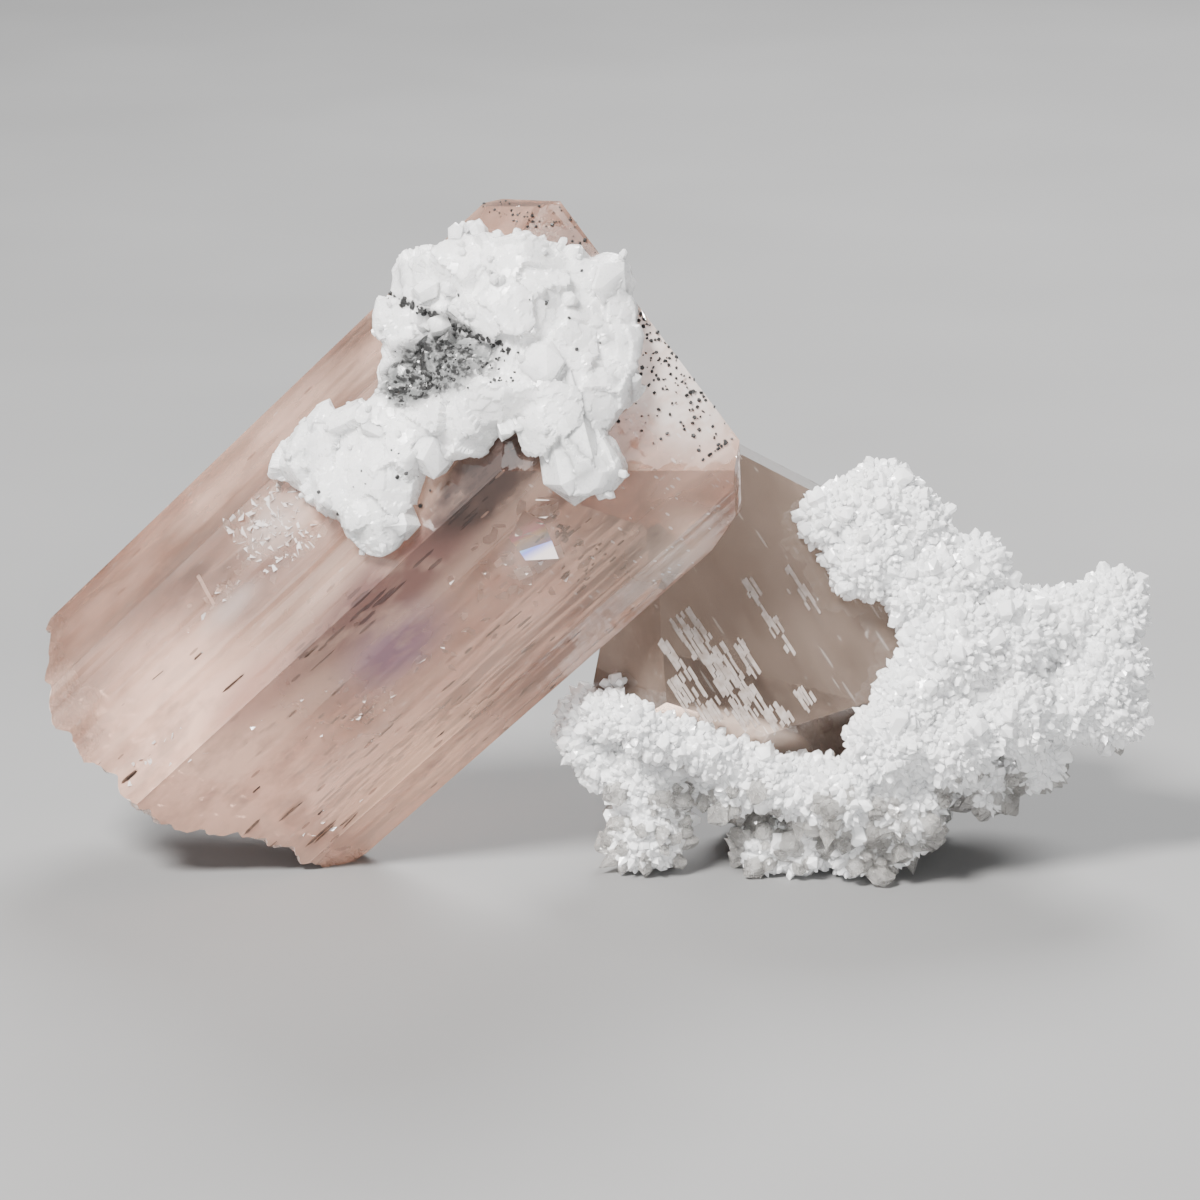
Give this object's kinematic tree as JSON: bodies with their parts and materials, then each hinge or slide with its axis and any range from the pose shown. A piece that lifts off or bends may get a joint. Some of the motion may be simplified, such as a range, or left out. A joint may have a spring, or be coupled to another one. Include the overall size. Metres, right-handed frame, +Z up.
{
  "type": "danburite crystal specimen",
  "caption": "Pale pink see-through danburite crystals grown together, one leaning over the other, with a crust and a druzy cluster of white calcite.",
  "frame": {"origin": "middle of the specimen's extent in X and Y, on the surface that it stands on", "axes": "+Z up as the specimen stands, +X to the right of its front view and along its longest extent, +Y away from the front"},
  "size_m": [0.096, 0.0362, 0.0598],
  "materials": {
    "danburite": "see-through pale pink to brownish crystal, glossy faces with fine lengthwise growth lines, a broken foot",
    "massive_calcite": "milky white, softly translucent, blocky and knobbly with satin facets",
    "druzy_calcite": "bright white, covered with small sharp calcite crystals that glitter"
  },
  "bodies": {
    "root": {"danburite_crystals": "danburite", "calcite_crust": "massive_calcite", "calcite_cluster": "druzy_calcite", "lone_calcite_crystal": "druzy_calcite"}
  },
  "joints": []
}
